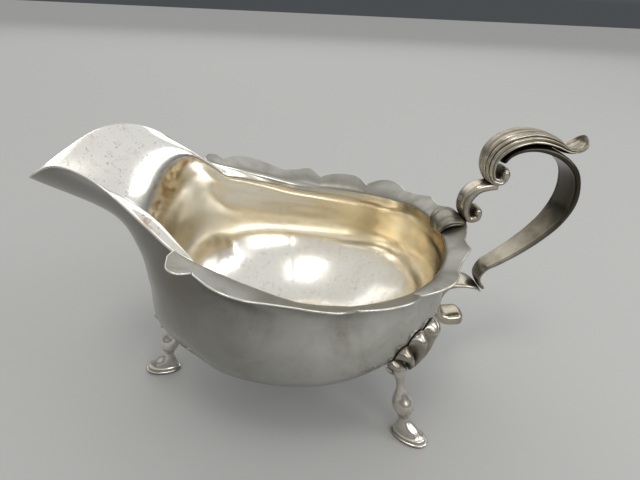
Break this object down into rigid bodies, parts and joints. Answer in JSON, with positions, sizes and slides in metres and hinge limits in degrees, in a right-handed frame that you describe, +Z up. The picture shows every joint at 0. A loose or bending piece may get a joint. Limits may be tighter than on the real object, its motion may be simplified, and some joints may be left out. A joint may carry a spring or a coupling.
{
  "type": "footed sauce boat",
  "caption": "Raised silver sauce boat with a pouring lip and lobed flared rim, a double-scroll handle, and cast cabriole legs with shell knuckles and hoof feet.",
  "frame": {"origin": "on the table, under the middle of the overall length and width", "axes": "+Z up; the pouring lip points along -X and the handle along +X; the plane y = 0 is the plane of symmetry"},
  "size_m": [0.1828, 0.105, 0.1018],
  "materials": {
    "bowl_silver": "raised sheet silver, polished then grown dull, gilt-toned towards the handle inside",
    "cast_silver": "cast silver, bright on the high places and dark in the hollows",
    "handle_silver": "cast silver with brown patina in the recesses"
  },
  "bodies": {
    "root": {"bowl": "bowl_silver", "leg_front": "cast_silver", "leg_rear_left": "cast_silver", "leg_rear_right": "cast_silver", "knuckle_front": "cast_silver", "knuckle_rear_left": "cast_silver", "knuckle_rear_right": "cast_silver", "rim_socket": "handle_silver", "scroll_foot": "handle_silver", "thumb_scroll": "handle_silver", "handle_loop": "handle_silver", "lower_scroll": "handle_silver"}
  },
  "joints": []
}
